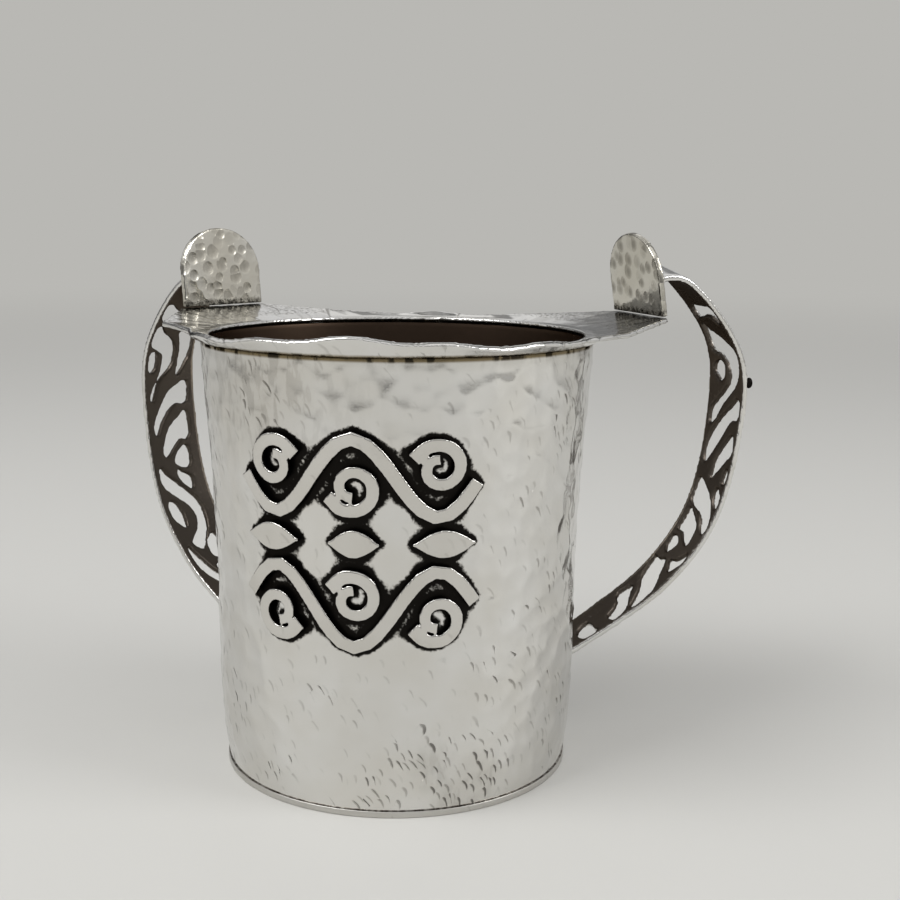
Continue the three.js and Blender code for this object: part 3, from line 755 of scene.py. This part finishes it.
    def build_disc(self) -> Piece:
        """Makes the base disc, with a softened edge.

        Returns:
            The disc.
        """
        bpy.ops.object.select_all(action="DESELECT")
        bpy.ops.mesh.primitive_cylinder_add(vertices=self.disc_sides, radius=self.disc_radius_mm * MM,
                                            depth=self.foot_mm * MM, location=(0, 0, self.foot_mm / 2 * MM))
        disc = bpy.context.object
        disc.name = "base_of_cup"
        bpy.ops.object.transform_apply(location=True, rotation=True, scale=True)
        apply_modifier(disc, "BEVEL", width=self.disc_bevel_mm * MM, segments=self.disc_bevel_steps,
                       limit_method="ANGLE")
        place, _ = vertex_arrays(disc)
        reach = np.hypot(place[:, 0], place[:, 1])
        lines = self.disc_rim * step(reach, *self.disc_rim_mm) + self.disc_floor * step(reach, *self.disc_floor_mm)
        paint(disc, np.where(place[:, 2] > self.disc_top_mm, lines, 0))
        return disc


@dataclass
class SheetPiece:
    """A piece of sheet whose outline is the solid's: remeshed finely, softened at its edges and hammered."""

    node: str
    name: str
    voxel_mm: float
    softening: int
    marks: HammerMarks
    rounded_run: bool = False

    def build(self) -> Piece:
        """Makes the piece.

        Returns:
            The hammered piece.
        """
        obj = copy_of_solid(self.node, self.name)
        if self.rounded_run:
            self.round_run(obj)
        apply_modifier(obj, "REMESH", mode="VOXEL", voxel_size=self.voxel_mm * MM)
        apply_modifier(obj, "SMOOTH", factor=EDGE_SMOOTHING, iterations=self.softening)
        self.marks.strike(obj)
        return obj

    def round_run(self, obj: Piece) -> None:
        """Rounds the bends of a strip along its run and keeps its long edges.

        Args:
            obj: the strip.
        """
        bpy.ops.object.mode_set(mode="EDIT")
        bpy.ops.mesh.select_all(action="SELECT")
        bpy.ops.mesh.tris_convert_to_quads()
        bpy.ops.mesh.select_all(action="DESELECT")
        bpy.ops.mesh.edges_select_sharp(sharpness=LONG_EDGE)
        bpy.ops.transform.edge_crease(value=1)
        bpy.ops.object.mode_set(mode="OBJECT")
        subdivide(obj)


@dataclass
class Rim:
    """The flared rim with its ears: painted shade beneath it and on the ears' upper faces, dark round the opening,
    and browned at its seam with the wall.
    """

    under: Span = (-0.3, -0.8)
    under_shade: float = 0.35
    lining_reach_mm: Span = (34.9, 34.5)
    lining_below_mm: Span = (80.9, 80.3)
    lining_stain: float = 0.8
    seam_below_mm: Span = (80.6, 80.35)
    seam_reach_mm: Span = (37.4, 36.8)
    ear_reach_mm: Span = (37.5, 40.0)
    ear_top: Span = (0.5, 0.9)
    ear_shade: float = 0.4
    struck: float = 0.25

    def build(self) -> Piece:
        """Makes the rim and browns its seam with the wall.

        Returns:
            The rim.
        """
        rim = SheetPiece("flared_rim", "rim_of_cup", voxel_mm=0.27, softening=3,
                         marks=HammerMarks(across_mm=4.2, depth_mm=0.09)).build()
        place, normal = vertex_arrays(rim)
        reach, up, tilt = np.hypot(place[:, 0], place[:, 1]), place[:, 2], normal[:, 2]
        # Painted shade on the faces that look downwards, beneath the flare
        under = self.under_shade * step(tilt, *self.under)
        lining = self.lining_stain * step(reach, *self.lining_reach_mm) * step(up, *self.lining_below_mm)
        seam = step(up, *self.seam_below_mm) * step(reach, *self.seam_reach_mm)
        # Painted shade on the ears' upper faces, greyed where they face upwards
        ears = self.ear_shade * step(reach, *self.ear_reach_mm) * step(tilt, *self.ear_top)
        paint(rim, np.maximum.reduce([under, lining, ears]), seam, self.struck)
        return rim


@dataclass
class ThumbTab:
    """One upright tab, which stands on its ear."""

    side: Side
    foot_mm: float = 83.7
    foot_rise_mm: float = 0.6
    gap_mm: float = 0.24
    seam_stain: float = 0.56
    seam_rise_mm: Span = (3.2, 0.1)

    def build(self) -> Piece:
        """Makes the tab, with a dark seam at its foot.

        Returns:
            The tab.
        """
        word = self.side.name.lower()
        tab = SheetPiece(f"{word}_thumb_tab", f"{word}_tab_of_cup", voxel_mm=0.22, softening=5,
                         marks=HammerMarks(across_mm=3.3, depth_mm=0.05)).build()
        place, _ = vertex_arrays(tab)
        self.seat(tab, place[:, 2] < self.foot_mm + self.foot_rise_mm)
        seam_from, seam_to = (self.foot_mm + rise for rise in self.seam_rise_mm)
        paint(tab, self.seam_stain * step(place[:, 2], seam_from, seam_to), struck=1.0)
        return tab

    def seat(self, tab: Piece, low: Array) -> None:
        """Lowers the tab's foot onto its ear.

        Args:
            tab: the tab.
            low: which vertices are at its foot.
        """
        bpy.ops.object.mode_set(mode="EDIT")
        bpy.ops.mesh.select_all(action="DESELECT")
        bpy.ops.object.mode_set(mode="OBJECT")
        tab.data.vertices.foreach_set("select", low)
        bpy.ops.object.mode_set(mode="EDIT")
        bpy.ops.transform.translate(value=(0, 0, -self.gap_mm * MM))
        bpy.ops.object.mode_set(mode="OBJECT")


@dataclass
class Handle:
    """One pierced strap, bright outside and dark inside and in its cut-outs, with a painted highlight along the edges
    of its inside.

    A point in the hollow that the strap goes round, by its distance from the axis and its height, tells the
    strap's inside from its outside.
    """

    side: Side
    half_width_top_mm: float
    half_width_foot_mm: float
    hollow_mm: Span = (48.0, 55.0)
    top_mm: float = 91.0
    foot_mm: float = 14.6
    # The inside's tarnish, thinned on the edge rails as a painted highlight, and thinner in a rubbed, browner band
    inner: Span = (-0.2, -0.6)
    inner_stain: float = 0.95
    rail_mm: Span = (0.7, 0.3)
    rail_highlight: float = 0.4
    rubbed_half_share: Span = (0.05, 0.5)
    rubbed_below_mm: Span = (84.0, 76.0)
    rubbed_clean: float = 0.6
    rubbed_brown: float = 0.9
    # The cut-outs' sides
    cut: Span = (0.75, 0.4)
    cut_stain: float = 0.63

    def build(self) -> Piece:
        """Makes the strap.

        Returns:
            The strap.
        """
        word = self.side.name.lower()
        strap = SheetPiece(f"{word}_handle", f"{word}_strap_of_cup", voxel_mm=0.3, softening=3,
                           marks=HammerMarks(across_mm=3.0, depth_mm=0.05)).build()
        place, normal = vertex_arrays(strap)
        up = place[:, 2]
        cosine, sine = math.cos(self.side.azimuth), math.sin(self.side.azimuth)
        out = place[:, 0] * cosine + place[:, 1] * sine
        across = -place[:, 0] * sine + place[:, 1] * cosine
        facing_out = normal[:, 0] * cosine + normal[:, 1] * sine
        away = np.stack([out - self.hollow_mm[0], up - self.hollow_mm[1]], 1)
        away /= np.linalg.norm(away, axis=1)[:, None]
        facing = away[:, 0] * facing_out + away[:, 1] * normal[:, 2]
        share = (up - self.foot_mm) / (self.top_mm - self.foot_mm)
        half = self.half_width_foot_mm + share * (self.half_width_top_mm - self.half_width_foot_mm)
        rail = step(np.abs(across), half - self.rail_mm[0], half - self.rail_mm[1])
        inner = step(facing, *self.inner)
        cut = step(facing, *self.cut) * (1 - rail)
        body_side = across if self.side is Side.RIGHT else -across
        rubbed_from, rubbed_to = (place_share * half for place_share in self.rubbed_half_share)
        rubbed = step(body_side, rubbed_from, rubbed_to) * step(up, *self.rubbed_below_mm)
        # Painted highlight: the tarnish is thinned along the edge rails, where the strap's edges catch the light
        dark = inner * (self.inner_stain - self.rubbed_clean * rubbed) * (1 - self.rail_highlight * rail)
        paint(strap, np.maximum(dark, cut * self.cut_stain), solder=self.rubbed_brown * rubbed * inner)
        return strap


@dataclass
class Drop:
    """The small dark drop on the right strap."""

    swell: float = 1.15
    inset_mm: float = 0.35
    stain: float = 0.85

    def build(self) -> Piece:
        """Makes the drop, rounder than its solid and set against the strap.

        Returns:
            The drop.
        """
        drop = copy_of_solid("handle_bead", "drop_on_strap")
        turn = Side.RIGHT.azimuth
        lowest, highest = Vector(drop.bound_box[0]), Vector(drop.bound_box[6])
        bpy.ops.object.mode_set(mode="EDIT")
        bpy.ops.mesh.select_all(action="SELECT")
        bpy.ops.transform.resize(value=(self.swell, self.swell, 1), center_override=(lowest + highest) / 2)
        inset = self.inset_mm * MM
        bpy.ops.transform.translate(value=(-inset * math.cos(turn), -inset * math.sin(turn), 0))
        bpy.ops.object.mode_set(mode="OBJECT")
        subdivide(drop)
        paint(drop, self.stain)
        return drop


@dataclass
class Vine:
    """The flat strips on the front: two running scrolls with leaves between them."""

    voxel_mm: float = 0.16
    softening: int = 6
    marks: HammerMarks = HammerMarks(across_mm=4.0, depth_mm=0.14)
    flank: Span = (0.8, 0.45)

    def build(self) -> dict[str, Piece]:
        """Makes each strip, with polished tops and black flanks.

        Returns:
            The pieces by the solid that each stands for.
        """
        pieces = {}
        for node in sorted(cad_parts):
            if not node.startswith("vine_"):
                continue
            name = node.replace("vine_", "applied_")
            piece = SheetPiece(node, name, self.voxel_mm, self.softening, self.marks, rounded_run=True).build()
            _, facing = round_axis(*vertex_arrays(piece))
            paint(piece, step(facing, *self.flank))
            pieces[node] = piece
        return pieces


@dataclass
class Studio:
    """Floor, light and camera. Its lengths are metres, but for the lens and sensor."""

    # The camera: where it is and how it is turned, before the whole view turns round the cup
    turn: float = math.radians(11.8)
    shift: float = 0.00085
    distance: float = 0.25074
    height: float = 0.10359
    pitch: float = math.radians(10.14)
    yaw: float = math.radians(2.06)
    roll: float = math.radians(0.54)
    lens: float = 54.06
    sensor: float = 36.0
    nearest: float = 0.01
    # The floor, a hair below the foot, and the distance over which it fades
    floor_colour: str = "cdccc8"
    floor_roughness: float = 0.7
    floor_side: float = 8.0
    floor_below: float = 0.00005
    haze: Ramp = Ramp(0.2, 1.6)
    # The room: what the camera sees, then the light of its walls, brighter upwards and in patches
    sky_colour: str = "b9b8b4"
    rise: Ramp = Ramp(-0.1, 0.7, 0.42, 0.95)
    patch_scale: float = 2.6
    patches: Ramp = Ramp(0.4, 0.56, 0.3, 1.0)
    pale_way: Way = (0.87, 0.49, 0.05)
    pale: Ramp = Ramp(0.8, 0.93)
    skirting_height: float = 0.06
    skirting: Ramp = Ramp(0.03, 0.08, 0.2, 1.0)
    open_way: Way = (0.75, 0.66, 0.0)
    opening: Ramp = Ramp(0.25, 0.55)
    frame_turn: float = math.radians(38)
    frame_edge: Ramp = Ramp(math.radians(5), math.radians(8), 0.22, 1.0)
    # What the lamps aim at
    middle: float = 0.05

    def build_camera(self) -> None:
        """Sets the camera where the photograph was taken from."""
        forward = Vector((math.sin(self.yaw) * math.cos(self.pitch), math.cos(self.yaw) * math.cos(self.pitch),
                          -math.sin(self.pitch)))
        level = Vector((math.cos(self.yaw), -math.sin(self.yaw), 0))
        above = level.cross(forward)
        right = level * math.cos(self.roll) + above * math.sin(self.roll)
        up = above * math.cos(self.roll) - level * math.sin(self.roll)
        pose = Matrix((right, up, -forward)).transposed().to_4x4()
        pose.translation = Vector((self.shift, -self.distance, self.height))
        bpy.ops.object.camera_add()
        camera = bpy.context.object
        camera.data.lens = self.lens
        camera.data.sensor_width = self.sensor
        camera.data.clip_start = self.nearest
        camera.matrix_world = Matrix.Rotation(self.turn, 4, "Z") @ pose
        bpy.context.scene.camera = camera

    def build_floor(self) -> None:
        """Lays a wide, plain, pale floor that fades into the background with distance."""
        bpy.ops.mesh.primitive_plane_add(size=self.floor_side, location=(0, 0, -self.floor_below))
        floor = bpy.context.object
        floor.name = "floor"
        # Matt painted board: no gloss, so only the soft shadow shows on it
        material = bpy.data.materials.new("pale_board")
        add = fresh_nodes(material)
        board = add("ShaderNodeBsdfPrincipled", values={"Base Color": hex_to_linear(self.floor_colour),
                                                        "Roughness": self.floor_roughness}).outputs[0]
        haze = add("ShaderNodeEmission", values={"Color": hex_to_linear(self.sky_colour)}).outputs[0]
        place = add("ShaderNodeTexCoord").outputs["Object"]
        reach = add(VECTOR_MATH, {"operation": "LENGTH"}, links={0: place}).outputs["Value"]
        far = add(RANGE, SMOOTH, self.haze.inputs, {"Value": reach}).outputs[0]
        mix = add("ShaderNodeMixShader", links={0: far, 1: board, 2: haze})
        add("ShaderNodeOutputMaterial", links={"Surface": mix.outputs[0]})
        floor.data.materials.append(material)

    def light_walls(self, add: Adder, way: Socket, split: bpy.types.Node) -> Socket:
        """Lights the room's walls in patches, with one pale patch at the right.

        Args:
            add: adds a node to the world.
            way: the direction looked in.
            split: the node that gives that direction's three parts.

        Returns:
            How bright the walls are.
        """
        patch = add(NOISE, values={"Scale": self.patch_scale, "Detail": 1.0}, links={"Vector": way}).outputs["Fac"]
        room = add(RANGE, SMOOTH, self.patches.inputs, {"Value": patch}).outputs[0]
        beside = add(VECTOR_MATH, DOT_PRODUCT, {1: self.pale_way}, {0: way}).outputs["Value"]
        pale = add(RANGE, SMOOTH, self.pale.inputs, {"Value": beside}).outputs[0]
        walls = add(MATH, MAXIMUM, links={0: room, 1: pale}).outputs[0]
        rise = add(RANGE, values=self.rise.inputs, links={"Value": split.outputs["Z"]}).outputs[0]
        return add(MATH, MULTIPLY, links={0: rise, 1: walls}).outputs[0]

    def shade_skirting(self, add: Adder, way: Socket, split: bpy.types.Node) -> Socket:
        """Darkens a skirting, low down and all round but for the right and the back.

        Args:
            add: adds a node to the world.
            way: the direction looked in.
            split: the node that gives that direction's three parts.

        Returns:
            How much light is left.
        """
        above = add(MATH, SUBTRACT, {1: self.skirting_height}, {0: split.outputs["Z"]}).outputs[0]
        near = add(MATH, ABSOLUTE, links={0: above}).outputs[0]
        skirting = add(RANGE, SMOOTH, self.skirting.inputs, {"Value": near}).outputs[0]
        right_back = add(VECTOR_MATH, DOT_PRODUCT, {1: self.open_way}, {0: way}).outputs["Value"]
        behind = add(RANGE, SMOOTH, self.opening.inputs, {"Value": right_back}).outputs[0]
        return add(MATH, MAXIMUM, links={0: skirting, 1: behind}).outputs[0]

    def shade_frames(self, add: Adder, split: bpy.types.Node) -> Socket:
        """Darkens two upright door frames behind the cup, one on each side.

        Args:
            add: adds a node to the world.
            split: the node that gives the three parts of the direction looked in.

        Returns:
            How much light is left.
        """
        aside = add(MATH, ABSOLUTE, links={0: split.outputs["X"]}).outputs[0]
        from_back = add(MATH, ARCTAN2, links={0: aside, 1: split.outputs["Y"]}).outputs[0]
        past = add(MATH, SUBTRACT, {1: self.frame_turn}, {0: from_back}).outputs[0]
        off_frame = add(MATH, ABSOLUTE, links={0: past}).outputs[0]
        return add(RANGE, SMOOTH, self.frame_edge.inputs, {"Value": off_frame}).outputs[0]

    def build_sky(self) -> None:
        """Surrounds the cup with the soft, patchy light of a plain room.

        The dim skirting draws a thin dark line in each hammer mark. The two dark door frames show as veins near
        the wall's edges.
        """
        world = bpy.data.worlds.new("soft_room")
        bpy.context.scene.world = world
        add = fresh_nodes(world)
        way = add("ShaderNodeTexCoord").outputs["Generated"]
        split = add("ShaderNodeSeparateXYZ", links={0: way})
        framed = add(MATH, MULTIPLY, links={0: self.light_walls(add, way, split), 1: self.shade_frames(add, split)})
        glow = add(MATH, MULTIPLY, links={0: framed.outputs[0], 1: self.shade_skirting(add, way, split)}).outputs[0]
        light = add("ShaderNodeBackground", values={"Color": WHITE}, links={"Strength": glow})
        seen = add("ShaderNodeBackground", values={"Color": hex_to_linear(self.sky_colour)})
        ray = add("ShaderNodeLightPath").outputs["Is Camera Ray"]
        mix = add("ShaderNodeMixShader", links={0: ray, 1: light.outputs[0], 2: seen.outputs[0]})
        add("ShaderNodeOutputWorld", links={"Surface": mix.outputs[0]})

    def add_softbox(self, name: str, place: Way, size: float, power: float) -> None:
        """Hangs a square soft light that faces the cup.

        Args:
            name: the light's name.
            place: where it hangs.
            size: its side.
            power: its power in watts.
        """
        bpy.ops.object.light_add(type="AREA", location=place)
        lamp = bpy.context.object
        lamp.name = name
        lamp.data.size = size
        lamp.data.energy = power
        aim = Vector((0, 0, self.middle)) - Vector(place)
        lamp.rotation_euler = aim.to_track_quat("-Z", "Y").to_euler()

    def build(self) -> None:
        """Sets up the whole studio."""
        self.build_camera()
        self.build_floor()
        self.build_sky()
        self.add_softbox("key_softbox", place=(-0.45, -0.35, 0.75), size=0.5, power=4.3)
        self.add_softbox("side_softbox", place=(0.7, -0.1, 0.45), size=0.35, power=2.2)
        bpy.context.scene.view_settings.view_transform = "Standard"


def main() -> None:
    """Builds the cup piece by piece, then the studio."""
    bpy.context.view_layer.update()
    vine = Vine().build()
    bowl = Bowl()
    wall = bowl.build_wall()
    bowl.tarnish(wall, list(vine.values()))
    dress(wall, HAMMERED.build(), SHEET_SLOT, "cup_wall")
    line_inside(wall, INSIDE.build())
    dress(bowl.build_disc(), BASE_SILVER.build(), SHEET_SLOT, "base_disc")
    dress(Rim().build(), RIM_SILVER.build(), SHEET_SLOT, "flared_rim")
    pierced = PIERCED.build()
    dimpled = TAB_SILVER.build()
    handles = (Handle(Side.RIGHT, half_width_top_mm=8.0, half_width_foot_mm=3.75),
               Handle(Side.LEFT, half_width_top_mm=6.6, half_width_foot_mm=6.8))
    for handle in handles:
        word = handle.side.name.lower()
        dress(ThumbTab(handle.side).build(), dimpled, SHEET_SLOT, f"{word}_thumb_tab")
        dress(handle.build(), pierced, SHEET_SLOT, f"{word}_handle")
    dress(Drop().build(), DROP.build(), "dark_silver", "handle_bead")
    raised = RAISED.build()
    for node, piece in vine.items():
        dress(piece, raised, "raised_silver", node)
    Studio().build()


if __name__ == "__main__":
    logging.basicConfig(level=logging.INFO, format="%(name)s: %(message)s")
    main()
